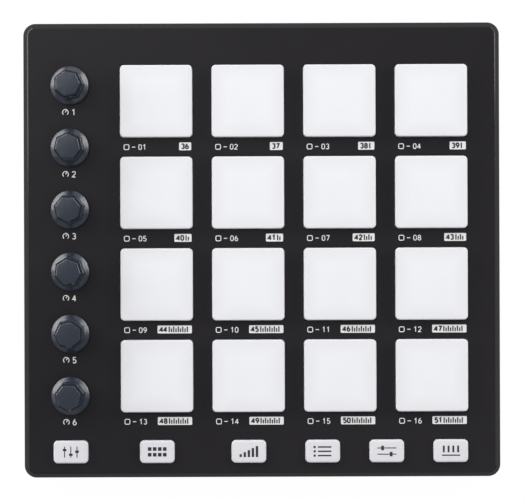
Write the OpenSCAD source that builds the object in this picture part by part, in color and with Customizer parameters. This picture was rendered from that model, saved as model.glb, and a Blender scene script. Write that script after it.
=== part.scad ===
// MIDI pad controller: sixteen pads, six endless knobs and six buttons in a two-part case.
// X points to the player's right, Y to the rear and Z up.
// The origin lies on the table, under the middle of the case.

/* [Layout of the face] */
// Left edge of the case to the knob column
knob_left_margin = 19.7; // [16:0.1:30]
// Knob column to the left edge of the pads
knob_pad_space = 21.1; // [18:0.1:30]
// Right edge of the pads to the right edge of the case
pad_right_margin = 13.8; // [10:0.1:25]
// Rear edge of the pads to the rear edge of the case
pad_rear_margin = 17.8; // [14:0.1:30]
// Front edge of the pads to the row of buttons
pad_button_space = 16.6; // [14:0.1:25]
// Row of buttons to the front edge of the case
button_front_margin = 11; // [10:0.1:18]
// Rear edge of the case to the first knob
knob_rear_margin = 26.2; // [18:0.1:40]
// Last knob to the row of buttons
knob_button_space = 23.6; // [18:0.1:30]

/* [Case] */
// Height of the closed case without its feet
case_h = 22.4; // [21:0.1:30]
// Height of the bottom case up to the parting line
split_h = 7.4; // [5:0.1:8]
// Corner radius of the case in plan
corner_r = 5.1; // [4:0.1:10]
// Chamfer round the face
face_chamfer = 1.9; // [0.5:0.1:2]
// Chamfer round the underside
base_chamfer = 1; // [0.4:0.1:1.5]
// Thickness of the side walls
wall_t = 2.2; // [1.8:0.1:3]
// Thickness of the face
panel_t = 2; // [1.6:0.1:2.6]
// Thickness of the floor
floor_t = 2; // [1.6:0.1:3]
// Height of the tongue that the bottom case puts into the top case
tongue_h = 1.2; // [0.8:0.1:1.6]
// Thickness of the tongue
tongue_t = 1; // [0.8:0.1:1.5]
// Gap between the tongue and the wall round it
tongue_gap = 0.15; // [0.1:0.05:0.3]
// Height of the shadow groove at the parting line
groove_h = 0.5; // [0.3:0.1:1]
// Depth of the shadow groove
groove_t = 0.6; // [0.3:0.1:1]

/* [Pads] */
// Side of a pad
pad_size = 30.2; // [24:0.1:36]
// Space between two pads
pad_space = 8.2; // [7:0.1:12]
// Corner radius of a pad in plan
pad_corner_r = 1.7; // [1:0.1:4]
// Chamfer round the top of a pad
pad_edge = 0.7; // [0.3:0.1:1.2]
// Height of a pad above the face
pad_proud = 2.5; // [1.5:0.1:4]
// How far a pad goes down
pad_travel = 1; // [0.5:0.1:1.2]
// Space between the flanges of two pads
flange_space = 5; // [4:0.1:6]
// Thickness of a pad's flange
pad_flange_t = 1.3; // [1:0.1:1.6]
// Thickness of a pad's side walls
pad_wall_t = 2.7; // [2:0.1:4]
// Thickness of a pad's top
pad_top_t = 3.5; // [2.5:0.1:5]
// Gap round a pad in the face and in its well
pad_gap = 0.3; // [0.2:0.05:0.5]
// Rim of the pad frame outside the outer wells
frame_rim = 2.5; // [1.5:0.1:3.5]
// Wall of the pad frame's sleeves
sleeve_t = 0.8; // [0.6:0.1:1]
// Thickness of the sensor film
film_t = 0.3; // [0.2:0.05:0.5]
// Width of the film's contact ring under a pad
film_ring = 5; // [4:0.1:8]
// Length of the film's tail
tail_l = 3.5; // [2:0.1:5]
// Width of the film's tail
tail_w = 16; // [10:0.5:24]
// Side of a pad light
led_size = 5; // [3:0.1:6]
// Height of a pad light
led_h = 1.6; // [1:0.1:2]

/* [Knobs] */
// Diameter of a knob's round skirt
knob_d = 16.1; // [14:0.1:18]
// Height of a knob
knob_h = 13.4; // [11:0.1:18]
// Gap between a knob and the face
knob_gap = 0.8; // [0.6:0.1:1.5]
// Height of a knob's straight skirt
skirt_h = 1.3; // [0.8:0.1:2]
// Height of the sloping shoulder above the skirt
shoulder_h = 1.7; // [1.4:0.1:3]
// Number of flats on a knob's grip
knob_flats = 7; // [5:1:9]
// Distance from a knob's axis to a flat at the foot of the grip
flat_low = 6.1; // [5.8:0.1:6.8]
// Distance from a knob's axis to a flat at the top, before the taper is cut
flat_high = 5.6; // [5:0.1:5.7]
// Width of the steeper taper round the top of a knob's grip, seen from above
knob_rim_w = 1.2; // [0.3:0.1:1.5]
// Height of that taper
knob_rim_h = 4; // [0.6:0.1:5]
// Diameter of the hollow under a knob
hollow_d = 11; // [9:0.1:12]
// Depth of the hollow under a knob
hollow_h = 2.2; // [1:0.1:3]
// Thickness of a knob above its shaft
knob_cap_t = 3.5; // [2.5:0.1:5]

/* [Encoders] */
// Side of an encoder's body
encoder_size = 12; // [10:0.1:13]
// Height of an encoder's body
encoder_h = 6.5; // [5:0.1:7.5]
// Diameter of an encoder's bushing
bushing_d = 7; // [6.8:0.1:8]
// Height of the bushing above the face
bushing_proud = 0.4; // [0.2:0.1:0.5]
// Gap round the bushing in the face
bushing_gap = 0.3; // [0.2:0.05:0.5]
// Diameter of the shaft
shaft_d = 6; // [5:0.1:6.2]
// Depth of the flat on the shaft
shaft_flat = 1.5; // [1:0.1:2]
// Thickness of the encoder's floor under the shaft
encoder_floor_t = 1.5; // [1:0.1:2]
// Radial gap between the shaft and its bushing
bearing_gap = 0.05; // [0.03:0.01:0.08]
// Gap between the shaft and the knob's bore
knob_fit = 0.02; // [0.01:0.01:0.05]

/* [Buttons] */
// Width of a button
button_w = 14.5; // [11:0.1:17]
// Depth of a button
button_d = 9.5; // [8:0.1:12]
// How far the fourth button stands in from the left edge of the pads behind it
spread_inset = 0.4; // [0:0.1:3]
// Corner radius of a button in plan
button_corner_r = 1.8; // [1:0.1:3]
// Chamfer round the top of a button
button_edge = 0.5; // [0.3:0.1:0.8]
// Height of a button above the face
button_proud = 1.5; // [1:0.1:2.5]
// How far a button goes down
button_travel = 0.5; // [0.3:0.1:0.8]
// Width of a button's flange
button_flange = 1.2; // [0.8:0.1:1.6]
// Thickness of a button's flange
button_flange_t = 1.2; // [1:0.1:1.6]
// Gap round a button in the face
button_gap = 0.25; // [0.2:0.05:0.4]
// Diameter of the stem under a button
stem_d = 5; // [4:0.1:6]
// Side of a switch's body
switch_size = 6; // [5:0.1:7]
// Height of a switch's body
switch_h = 3.5; // [3:0.1:4]
// Diameter of a switch's plunger
plunger_d = 3.4; // [3:0.1:4]
// Height of the plunger above the switch's body
plunger_proud = 1.4; // [1.1:0.1:2]
// Depth of the plunger inside the switch's body
plunger_sink = 1.2; // [0.8:0.1:1.4]
// Radial gap round the plunger
plunger_gap = 0.1; // [0.05:0.01:0.15]

/* [Circuit board] */
// Face of the case to the top of the board
board_depth = 11; // [10:0.1:12]
// Thickness of the board
board_t = 1.6; // [1:0.1:2]
// Side wall of the case to the edge of the board
board_side_gap = 4; // [2:0.1:8]
// Rear wall of the case to the edge of the board
board_rear_gap = 1.5; // [1:0.1:3]
// Gap round the case's screw posts in the board
board_gap = 0.6; // [0.4:0.1:1]
// Side of the controller chip
chip_size = 10; // [7:0.5:14]
// Thickness of the controller chip
chip_t = 1.4; // [1:0.1:1.6]
// Width of the connector for the sensor film
connector_w = 4; // [3:0.1:5]
// Length of the connector on each side of the film's tail
connector_end = 2; // [1:0.1:4]
// Height of the connector
connector_h = 2.2; // [1.6:0.1:3]

/* [Socket for the data cable] */
// Left edge of the case to the socket
usb_left = 74; // [60:0.5:80]
// Width of the socket's shell
usb_w = 8.94; // [8.94:0.01:9]
// Height of the socket's shell
usb_h = 3.26; // [3.2:0.01:3.3]
// Length of the socket
usb_l = 7.4; // [7:0.1:9]
// Thickness of the socket's shell
usb_shell_t = 0.3; // [0.25:0.05:0.35]
// Thickness of the socket's back
usb_back_t = 1.2; // [1:0.1:2]
// Width of the socket's tongue
usb_tongue_w = 6.7; // [6.6:0.05:6.8]
// Thickness of the socket's tongue
usb_tongue_t = 0.7; // [0.6:0.05:0.8]
// Distance from the socket's mouth to its tongue
usb_tongue_in = 0.8; // [0.6:0.1:1.2]
// Gap between the socket's mouth and the rear wall
usb_wall_gap = 0.2; // [0.1:0.05:0.4]
// Width of the hole in the rear wall
usb_hole_w = 12.8; // [12.4:0.1:14]
// Height of the hole in the rear wall
usb_hole_h = 7; // [6.6:0.1:7.4]
// Corner radius of the hole in the rear wall
usb_hole_r = 1; // [0.5:0.1:2]

/* [Screws and feet] */
// Diameter of the posts for the case screws
post_d = 6; // [5:0.1:7]
// How far a post is sunk into the side wall
post_sink = 0.3; // [0.2:0.05:0.6]
// Diameter of a case screw
case_screw_d = 2.6; // [2:0.1:3]
// Diameter of a case screw's head
case_head_d = 4.4; // [4:0.1:4.8]
// Height of a case screw's head
case_head_h = 1.8; // [1.4:0.1:2.2]
// Height of the underside to the seat of a case screw's head
case_seat_h = 4; // [3:0.1:4.5]
// Length of a case screw under its head
case_screw_l = 9; // [7:0.1:11]
// Diameter of the posts for the board screws
board_post_d = 5; // [4:0.1:5.4]
// Gap round a board post in the film and the frame
board_post_gap = 0.3; // [0.2:0.05:0.4]
// Diameter of a board screw
board_screw_d = 2; // [1.6:0.1:2.3]
// Diameter of a board screw's head
board_head_d = 3.8; // [3:0.1:4.4]
// Height of a board screw's head
board_head_h = 1.4; // [1:0.1:1.6]
// Length of a board screw under its head
board_screw_l = 6; // [5:0.1:8]
// Width of the cross in a screw's head
cross_w = 0.6; // [0.4:0.1:0.8]
// Depth of the cross in a screw's head
cross_h = 0.7; // [0.5:0.1:0.9]
// Radial gap round a screw
screw_gap = 0.1; // [0.05:0.05:0.2]
// Radial gap round a case screw's head
head_gap = 0.4; // [0.2:0.1:0.5]
// Diameter of a rubber foot
foot_d = 12; // [8:0.5:18]
// Height of a foot below the case
foot_proud = 1.6; // [1:0.1:3]
// Depth of a foot's recess in the case
foot_sink = 1; // [0.6:0.1:1.2]
// Edge of the case to the middle of a foot
foot_inset = 18; // [14:0.5:30]
// Radial gap round a foot in its recess
foot_gap = 0.1; // [0.05:0.05:0.2]

/* [Clearances] */
// Gap between a flange at rest and the face over it
seat_gap = 0.05; // [0.02:0.01:0.1]
// Gap that is left under a moving piece at the end of its travel
end_gap = 0.2; // [0.1:0.05:0.3]
// How far a cut runs past the surface that it opens
past = 0.5; // [0.2:0.1:1]

/* [Hidden] */
$fn = 48;
pad_rows = 4;
knob_count = 6;
button_count = 6;
pad_count = pad_rows * pad_rows;
// How far each knob happens to be turned
knob_turn = [180, 270, 90, 275, 0, 90];

// Plan
pad_pitch = pad_size + pad_space;
pads_span = pad_rows * pad_size + (pad_rows - 1) * pad_space;
case_w = knob_left_margin + knob_pad_space + pads_span + pad_right_margin;
case_d = pad_rear_margin + pads_span + pad_button_space + button_front_margin;
pads_x = case_w / 2 - pad_right_margin - pads_span / 2;
pads_y = case_d / 2 - pad_rear_margin - pads_span / 2;
pad_at = [for (row = [0:pad_rows - 1], column = [0:pad_rows - 1])
    [pads_x + (column - (pad_rows - 1) / 2) * pad_pitch, pads_y + ((pad_rows - 1) / 2 - row) * pad_pitch]];
knob_x = knob_left_margin - case_w / 2;
button_y = button_front_margin - case_d / 2;
knob_first_y = case_d / 2 - knob_rear_margin;
knob_last_y = button_y + knob_button_space;
knob_at = [for (i = [0:knob_count - 1])
    [knob_x, knob_first_y + (knob_last_y - knob_first_y) * i / (knob_count - 1)]];
// The last three buttons are spread over the last two columns of pads
spread_left = pads_x + (pad_space + button_w) / 2 + spread_inset;
spread_right = pads_x + (pads_span - button_w) / 2;
button_x = [knob_x, pad_at[0][0], pad_at[1][0], spread_left, (spread_left + spread_right) / 2, spread_right];
button_at = [for (x = button_x) [x, button_y]];
pad_flange = (pad_space - flange_space) / 2;
frame_size = pads_span + 2 * (pad_gap + frame_rim);
post_y = case_d / 2 - wall_t - post_d / 2 + post_sink;
// The posts stand after the first and the third button, and between the last one and the side wall
last_flange_x = button_x[button_count - 1] + button_w / 2 + button_flange;
post_x = [
    (button_x[0] + button_x[1]) / 2, (button_x[2] + button_x[3]) / 2, (last_flange_x + case_w / 2 - wall_t) / 2
];
post_at = [for (x = post_x, side = [-1, 1]) [x, side * post_y]];
crossing_at = [for (i = [-1, 1], j = [-1, 1]) [pads_x + i * pad_pitch, pads_y + j * pad_pitch]];
frame_left = pads_x - frame_size / 2;
aisle_x = (knob_x + encoder_size / 2 + frame_left) / 2;
// The strip between the flanges of the buttons and the pad frame
front_strip_y = (button_y + button_d / 2 + button_flange + pads_y - frame_size / 2) / 2;
board_post_at = concat(crossing_at, [
    [aisle_x, knob_at[0][1]],
    [aisle_x, knob_at[knob_count - 1][1]],
    [(button_x[1] + button_x[2]) / 2, front_strip_y],
    [(button_x[3] + button_x[4]) / 2, front_strip_y]
]);
usb_x = usb_left - case_w / 2;
rear_wall_y = case_d / 2 - wall_t;
usb_mouth_y = rear_wall_y - usb_wall_gap;
foot_at = [for (i = [-1, 1], j = [-1, 1]) [i * (case_w / 2 - foot_inset), j * (case_d / 2 - foot_inset)]];
board_w = case_w - 2 * (wall_t + board_side_gap);
board_d = case_d - 2 * (wall_t + board_rear_gap);

// Heights
base_z = foot_proud;
split_z = base_z + split_h;
face_z = base_z + case_h;
panel_z = face_z - panel_t;
board_z = face_z - board_depth;
film_z = board_z + film_t;
seat_z = panel_z - seat_gap;
pad_top_z = face_z + pad_proud;
pad_flange_z = seat_z - pad_flange_t;
pad_foot_z = film_z + pad_travel + end_gap;
frame_z = pad_flange_z - pad_travel - end_gap;
button_top_z = face_z + button_proud;
button_flange_z = seat_z - button_flange_t;
switch_z = board_z + switch_h;
plunger_z = switch_z + plunger_proud;
knob_z = face_z + knob_gap;
shaft_z = board_z + encoder_floor_t;
shaft_top_z = knob_z + knob_h - knob_cap_t;
case_seat_z = base_z + case_seat_h;
usb_z = board_z + usb_h / 2;

// A rectangle with round corners, centred on the origin
module round_rect(w, d, r) {
    square([w - 2 * r, d], center = true);
    square([w, d - 2 * r], center = true);
    for (i = [-1, 1], j = [-1, 1])
        translate([i * (w / 2 - r), j * (d / 2 - r)]) circle(r);
}

// A slab with round corners that stands from height low to height high
module slab(w, d, r, low, high) {
    translate([0, 0, low]) linear_extrude(high - low) round_rect(w, d, r);
}

// A bar along Y, as long as l, whose two top edges are chamfered
module chamfered_bar(w, l, low, high, c) {
    rotate([90, 0, 0]) linear_extrude(l, center = true)
        polygon([[-w / 2, low], [w / 2, low], [w / 2, high - c], [w / 2 - c, high], [c - w / 2, high],
            [-w / 2, high - c]]);
}

// A slab with round corners whose top edge is chamfered: two crossed bars and a turned piece in each corner
module chamfered_slab(w, d, r, low, high, c) {
    chamfered_bar(w, d - 2 * r, low, high, c);
    rotate(90) chamfered_bar(d, w - 2 * r, low, high, c);
    for (i = [-1, 1], j = [-1, 1]) translate([i * (w / 2 - r), j * (d / 2 - r), 0])
        rotate_extrude() polygon([[0, low], [r, low], [r, high - c], [r - c, high], [0, high]]);
}

// Copies of a piece at a list of places in plan
module at_each(places) {
    for (p = places) translate([p[0], p[1], 0]) children();
}

// A round rod of one diameter from height low to height high
module rod(d, low, high) {
    translate([0, 0, low]) cylinder(high - low, d = d);
}

// A rod with one flat along it, as deep as the given cut
module flatted_rod(d, cut, low, high) {
    difference() {
        rod(d, low, high);
        translate([d / 2 - cut, -d, low - past]) cube([d, 2 * d, high - low + 2 * past]);
    }
}

// A screw whose head hangs below the height of its seat
module screw(d, l, head_d, head_h, seat) {
    difference() {
        union() {
            rod(head_d, seat - head_h, seat);
            rod(d, seat, seat + l);
        }
        for (turn = [0, 90])
            translate([0, 0, seat - head_h]) rotate(turn)
                cube([head_d - 2 * cross_w, cross_w, 2 * cross_h], center = true);
    }
}

// Upper half of the case: the face with its holes, the walls and the screw posts
module top_case() {
    color("#2c2b2e") difference() {
        union() {
            difference() {
                chamfered_slab(case_w, case_d, corner_r, split_z, face_z, face_chamfer);
                slab(case_w - 2 * wall_t, case_d - 2 * wall_t, corner_r - wall_t, split_z - past, panel_z);
            }
            at_each(post_at) rod(post_d, split_z, panel_z + past);
            at_each(board_post_at) rod(board_post_d, board_z, panel_z + past);
        }
        at_each(pad_at) slab(
            pad_size + 2 * pad_gap, pad_size + 2 * pad_gap, pad_corner_r + pad_gap, panel_z - past, face_z + past);
        at_each(button_at) slab(
            button_w + 2 * button_gap, button_d + 2 * button_gap, button_corner_r + button_gap,
            panel_z - past, face_z + past);
        at_each(knob_at) rod(bushing_d + 2 * bushing_gap, panel_z - past, face_z + past);
        at_each(post_at) rod(case_screw_d + 2 * screw_gap, split_z - past, case_seat_z + case_screw_l + past);
        at_each(board_post_at)
            rod(board_screw_d + 2 * screw_gap, board_z - past, board_z - board_t + board_screw_l + past);
        translate([usb_x, case_d / 2 + past, usb_z]) rotate([90, 0, 0])
            linear_extrude(wall_t + 2 * past) round_rect(usb_hole_w, usb_hole_h, usb_hole_r);
    }
}

// Lower half of the case: floor, walls, tongue, screw posts and recesses for the feet
module bottom_case() {
    inner_w = case_w - 2 * wall_t;
    inner_d = case_d - 2 * wall_t;
    tongue_w = inner_w - 2 * tongue_gap;
    tongue_d = inner_d - 2 * tongue_gap;
    tongue_r = corner_r - wall_t - tongue_gap;
    color("#262528") difference() {
        union() {
            translate([0, 0, base_z + split_h]) mirror([0, 0, 1])
                chamfered_slab(case_w, case_d, corner_r, groove_h, split_h, base_chamfer);
            slab(case_w - 2 * groove_t, case_d - 2 * groove_t, corner_r - groove_t,
                split_z - groove_h - past, split_z);
            slab(tongue_w, tongue_d, tongue_r, split_z - past, split_z + tongue_h);
        }
        difference() {
            slab(inner_w - 2 * (tongue_gap + tongue_t), inner_d - 2 * (tongue_gap + tongue_t),
                corner_r - wall_t - tongue_gap - tongue_t, base_z + floor_t, split_z + tongue_h + past);
            at_each(post_at) rod(post_d, base_z, split_z);
        }
        at_each(post_at) rod(post_d + 2 * tongue_gap, split_z, split_z + tongue_h + past);
        at_each(post_at) rod(case_head_d + 2 * head_gap, base_z - past, case_seat_z);
        at_each(post_at) rod(case_screw_d + 2 * screw_gap, base_z, split_z + past);
        at_each(foot_at) rod(foot_d + 2 * foot_gap, base_z - past, base_z + foot_sink);
    }
}

// Circuit board that carries the sensors, lights, encoders, switches and socket
module main_board() {
    color("#14452f") difference() {
        translate([0, 0, board_z - board_t]) linear_extrude(board_t) square([board_w, board_d], center = true);
        at_each(post_at) rod(post_d + 2 * board_gap, board_z - board_t - past, board_z + past);
        at_each(board_post_at)
            rod(board_screw_d + 2 * screw_gap, board_z - board_t - past, board_z + past);
    }
}

// White grid that guides the pads and keeps their lights apart
module pad_frame() {
    sleeve_d = board_post_d + 2 * (board_post_gap + sleeve_t);
    well = pad_size + 2 * pad_gap;
    color("#e9e9e6") difference() {
        union() {
            translate([pads_x, pads_y, 0]) slab(frame_size, frame_size, pad_corner_r, film_z, frame_z);
            at_each(crossing_at) rod(sleeve_d, film_z, panel_z);
        }
        at_each(pad_at) slab(well, well, pad_corner_r + pad_gap, film_z - past, frame_z + past);
        at_each(crossing_at) rod(board_post_d + 2 * board_post_gap, film_z - past, panel_z + past);
    }
}

// Pressure-sensing film: a contact ring under each pad, and a tail to its connector
module sensor_film() {
    window = pad_size - 2 * film_ring;
    color("#8a6a2f") difference() {
        translate([0, 0, board_z]) linear_extrude(film_t) union() {
            translate([pads_x, pads_y]) square(frame_size, center = true);
            translate([frame_left - tail_l, pads_y - tail_w / 2]) square([tail_l + past, tail_w]);
        }
        at_each(pad_at) translate([0, 0, board_z - past]) linear_extrude(film_t + 2 * past)
            square(window, center = true);
        at_each(crossing_at) rod(board_post_d + 2 * board_post_gap, board_z - past, film_z + past);
    }
}

// Connector that holds the film's tail
module film_connector() {
    connector_l = tail_w + 2 * connector_end;
    color("#d9d5c8") translate([frame_left - tail_l - connector_w, pads_y - connector_l / 2, board_z])
        cube([connector_w, connector_l, connector_h]);
}

// One light on the board under each pad
module pad_lights() {
    color("#f2f2ea") at_each(pad_at) translate([-led_size / 2, -led_size / 2, board_z])
        cube([led_size, led_size, led_h]);
}

// One switch body on the board under each button
module switch_bodies() {
    color("#303030") at_each(button_at) difference() {
        translate([-switch_size / 2, -switch_size / 2, board_z]) cube([switch_size, switch_size, switch_h]);
        rod(plunger_d + 2 * plunger_gap, switch_z - plunger_sink - button_travel - end_gap, switch_z + past);
    }
}

// A flat-sided oval of the given width and height, as wide as a plug
module oval(w, h) {
    square([w - h, h], center = true);
    for (i = [-1, 1]) translate([i * (w - h) / 2, 0]) circle(d = h);
}

// Data socket on the board, with its mouth in the hole of the rear wall
module usb_socket() {
    depth = usb_l - usb_back_t;
    color("#b9bbbd") translate([usb_x, usb_mouth_y, usb_z]) rotate([90, 0, 0]) {
        difference() {
            linear_extrude(usb_l) oval(usb_w, usb_h);
            translate([0, 0, -past]) linear_extrude(depth + past)
                oval(usb_w - 2 * usb_shell_t, usb_h - 2 * usb_shell_t);
        }
        translate([-usb_tongue_w / 2, -usb_tongue_t / 2, usb_tongue_in])
            cube([usb_tongue_w, usb_tongue_t, depth - usb_tongue_in + past]);
    }
}

// Processor under the board, near the data socket
module controller_chip() {
    color("#1d1d1f") translate([usb_x - chip_size / 2, pad_at[0][1] - chip_size / 2, board_z - board_t - chip_t])
        cube([chip_size, chip_size, chip_t]);
}

// Screws that hold the bottom case to the top case
module case_screws() {
    color("#3a3a3c") at_each(post_at)
        screw(case_screw_d, case_screw_l, case_head_d, case_head_h, case_seat_z);
}

// Screws that hold the board to the top case
module board_screws() {
    color("#8d8f92") at_each(board_post_at)
        screw(board_screw_d, board_screw_l, board_head_d, board_head_h, board_z - board_t);
}

// Rubber feet, set into the floor
module rubber_feet() {
    color("#1a1a1b") at_each(foot_at) rod(foot_d, 0, base_z + foot_sink);
}

// Rotary encoder: square body on the board and a bushing up through the face
module encoder(i) {
    color("#77797c") translate([knob_at[i][0], knob_at[i][1], 0]) difference() {
        union() {
            translate([-encoder_size / 2, -encoder_size / 2, board_z])
                cube([encoder_size, encoder_size, encoder_h]);
            rod(bushing_d, board_z + past, face_z + bushing_proud);
        }
        rod(shaft_d + 2 * bearing_gap, shaft_z, face_z + bushing_proud + past);
    }
}

// Shaft of an encoder, with a flat where the knob sits
module encoder_shaft(i) {
    flat_z = knob_z + hollow_h;
    color("#a4a6a8") translate([knob_at[i][0], knob_at[i][1], 0]) rotate(knob_turn[i]) {
        rod(shaft_d, shaft_z, flat_z);
        flatted_rod(shaft_d, shaft_flat, flat_z, shaft_top_z);
    }
}

// Cuts round a knob's axis, one for each flat, that lean inwards from a given distance and height
module leaning_cuts(distance, height, lean) {
    for (k = [0:knob_flats - 1])
        rotate(k * 360 / knob_flats) translate([distance, 0, height]) rotate([0, -lean, 0])
            translate([0, -knob_d, -2 * knob_h]) cube([knob_d, 2 * knob_d, 4 * knob_h]);
}

// The grip of a knob: a prism with leaning flats and a steeper taper round its top
module knob_grip() {
    taper = (flat_low - flat_high) / knob_h;
    difference() {
        rod(knob_d, 0, knob_h);
        leaning_cuts(flat_low, 0, atan(taper));
        leaning_cuts(flat_high + taper * knob_rim_h, knob_h - knob_rim_h, atan(knob_rim_w / knob_rim_h));
    }
}

// Knob: round skirt, sloping shoulder and a grip with flats, pushed onto the shaft
module knob(i) {
    shoulder_z = skirt_h + shoulder_h;
    color("#43464e") translate([knob_at[i][0], knob_at[i][1], knob_z]) rotate(knob_turn[i]) difference() {
        union() {
            rotate_extrude() polygon([[0, 0], [knob_d / 2, 0], [knob_d / 2, skirt_h], [flat_high, shoulder_z],
                [0, shoulder_z]]);
            knob_grip();
        }
        rod(hollow_d, -past, hollow_h);
        flatted_rod(shaft_d + 2 * knob_fit, shaft_flat, hollow_h - past, knob_h - knob_cap_t + knob_fit);
    }
}

// Pad: a soft block with a flange under the face and a hollow over its light
module pad(i) {
    flange = pad_size + 2 * pad_flange;
    hollow = pad_size - 2 * pad_wall_t;
    color("#f0f1f4") translate([pad_at[i][0], pad_at[i][1], 0]) difference() {
        union() {
            chamfered_slab(pad_size, pad_size, pad_corner_r, pad_foot_z, pad_top_z, pad_edge);
            slab(flange, flange, pad_corner_r + pad_flange, pad_flange_z, seat_z);
        }
        translate([0, 0, pad_foot_z - past]) linear_extrude(pad_top_z - pad_top_t - pad_foot_z + past)
            square(hollow, center = true);
    }
}

// Button: a cap with a flange under the face and a stem down to its switch
module button(i) {
    color("#e3e3e7") translate([button_at[i][0], button_at[i][1], 0]) {
        chamfered_slab(button_w, button_d, button_corner_r, button_flange_z, button_top_z, button_edge);
        slab(button_w + 2 * button_flange, button_d + 2 * button_flange, button_corner_r + button_flange,
            button_flange_z, seat_z);
        rod(stem_d, plunger_z, button_flange_z + past);
    }
}

// Plunger of a switch, under the stem of its button
module switch_plunger(i) {
    color("#c9c4b6") translate([button_at[i][0], button_at[i][1], 0])
        rod(plunger_d, switch_z - plunger_sink, plunger_z);
}

top_case();
bottom_case();
main_board();
pad_frame();
sensor_film();
film_connector();
pad_lights();
switch_bodies();
usb_socket();
controller_chip();
case_screws();
board_screws();
rubber_feet();
for (i = [0:knob_count - 1]) {
    encoder(i);
    encoder_shaft(i);
    knob(i);
}
for (i = [0:pad_count - 1])
    pad(i);
for (i = [0:button_count - 1]) {
    button(i);
    switch_plunger(i);
}
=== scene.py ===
import math

import bmesh
import bpy
import numpy as np
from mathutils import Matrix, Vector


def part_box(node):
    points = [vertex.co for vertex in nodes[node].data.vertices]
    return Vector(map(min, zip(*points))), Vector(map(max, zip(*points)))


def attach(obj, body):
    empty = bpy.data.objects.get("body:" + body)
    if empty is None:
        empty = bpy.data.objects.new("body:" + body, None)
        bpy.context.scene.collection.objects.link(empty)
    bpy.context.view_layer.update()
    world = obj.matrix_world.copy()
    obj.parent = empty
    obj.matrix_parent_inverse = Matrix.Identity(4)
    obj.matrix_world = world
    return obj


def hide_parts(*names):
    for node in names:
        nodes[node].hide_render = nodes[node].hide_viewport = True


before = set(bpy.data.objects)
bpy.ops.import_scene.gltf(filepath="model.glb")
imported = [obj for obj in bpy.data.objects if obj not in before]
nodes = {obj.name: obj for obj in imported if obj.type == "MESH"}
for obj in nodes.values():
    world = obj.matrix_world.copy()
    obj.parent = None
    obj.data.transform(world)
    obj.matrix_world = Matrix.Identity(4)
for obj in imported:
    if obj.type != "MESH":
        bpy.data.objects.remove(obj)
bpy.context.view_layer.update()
MM = 0.001

# Camera
# A long lens about a metre above the middle of the face, looking straight down and turned
# a fifth of a degree, as in the photograph. It stands so far off that the case's outline,
# which lies a little below the face, is as wide as it is there.
PICTURE_WIDTH_PX = 524
CASE_WIDTH_PX = 475.95
CASE_RIGHT_PX = -0.21
CAMERA_TURN_DEG = -0.2
LENS_MM = 163.0
SENSOR_MM = 36.0
OUTLINE_DROP = 1.7 * MM

case_low, case_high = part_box("top_case")
case_width = case_high.x - case_low.x
metres_per_px = case_width / CASE_WIDTH_PX
focal_px = LENS_MM / SENSOR_MM * PICTURE_WIDTH_PX
lens = bpy.data.cameras.new("plan_lens")
lens.lens = LENS_MM
lens.sensor_width = SENSOR_MM
lens.clip_start = 0.01
lens.clip_end = 50.0
camera = bpy.data.objects.new("plan_camera", lens)
camera.location = (
    -CASE_RIGHT_PX * metres_per_px,
    0.0,
    case_high.z - OUTLINE_DROP + focal_px * metres_per_px,
)
camera.rotation_euler = (0.0, 0.0, math.radians(CAMERA_TURN_DEG))
bpy.context.collection.objects.link(camera)
bpy.context.scene.camera = camera
bpy.context.scene.view_settings.view_transform = "Standard"

# Bottom case
# The lower half of the shell, moulded in black plastic with a fine spark-eroded texture.
# It is held to the top case by six screws that sit in deep round wells in its underside.
BASE_CHAMFER = 1.0 * MM
BASE_LIP = 0.6 * MM
BASE_EDGE = 0.5 * MM
CASE_CORNER = 5.1 * MM
CASE_WALL = 2.2 * MM
GROOVE_DEPTH = 0.6 * MM
GROOVE_HEIGHT = 0.5 * MM
GROOVE_EDGE = 0.15 * MM
FLOOR_THICK = 2.0 * MM
TONGUE_HEIGHT = 1.2 * MM
TONGUE_THICK = 1.0 * MM
TONGUE_GAP = 0.15 * MM
SCREW_WELL_RADIUS = 2.6 * MM
SCREW_WELL_DEPTH = 4.0 * MM
SCREW_WELL_EDGE = 0.25 * MM
FOOT_RECESS_DEPTH = 1.0 * MM
FOOT_RECESS_GAP = 0.1 * MM
FOOT_RECESS_EDGE = 0.2 * MM
RECESS_LIP = 0.4 * MM
RECESS_POLE = 0.3 * MM
CORNER_STEPS = 12
ROUND_STEPS = 48
SMALLEST_RADIUS = 0.05 * MM
NEARLY_STRAIGHT = 1.57
WELD_DISTANCE = 1e-7
LEVEL_TOLERANCE = 1e-6
SMOOTH_DEG = 35.0
ISLAND_REACH = 20 * MM
CLOUD_SIZE = 35 * MM
SATIN_SHINE = 0.2


def srgb(red, green, blue):
    """Linear colour with alpha from 8-bit display values: the display curve undone on each channel."""
    shown = np.array([red, green, blue]) / 255.0
    linear = np.where(shown <= 0.04045, shown / 12.92, ((shown + 0.055) / 1.055) ** 2.4)
    return (*[float(v) for v in linear], 1.0)


class Value:
    """A shader output that takes part in arithmetic: every operator adds one Math node."""

    def __init__(self, finish, socket):
        self.finish = finish
        self.socket = socket

    def math(self, operation, first, second):
        return self.finish.add("ShaderNodeMath", {"operation": operation}, {0: first, 1: second})

    def __add__(self, other):
        return self.math("ADD", self, other)

    def __sub__(self, other):
        return self.math("SUBTRACT", self, other)

    def __rsub__(self, other):
        return self.math("SUBTRACT", other, self)

    def __mul__(self, other):
        return self.math("MULTIPLY", self, other)

    def __abs__(self):
        return self.math("ABSOLUTE", self, 0.0)

    def at_least(self, other):
        return self.math("MAXIMUM", self, other)

    def root(self):
        return self.math("SQRT", self, 0.0)


def socket_name(word):
    """A shader socket's own name from a plain word: base_color is Base Color."""
    return word.replace("_", " ").title().replace("Ior", "IOR")


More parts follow.
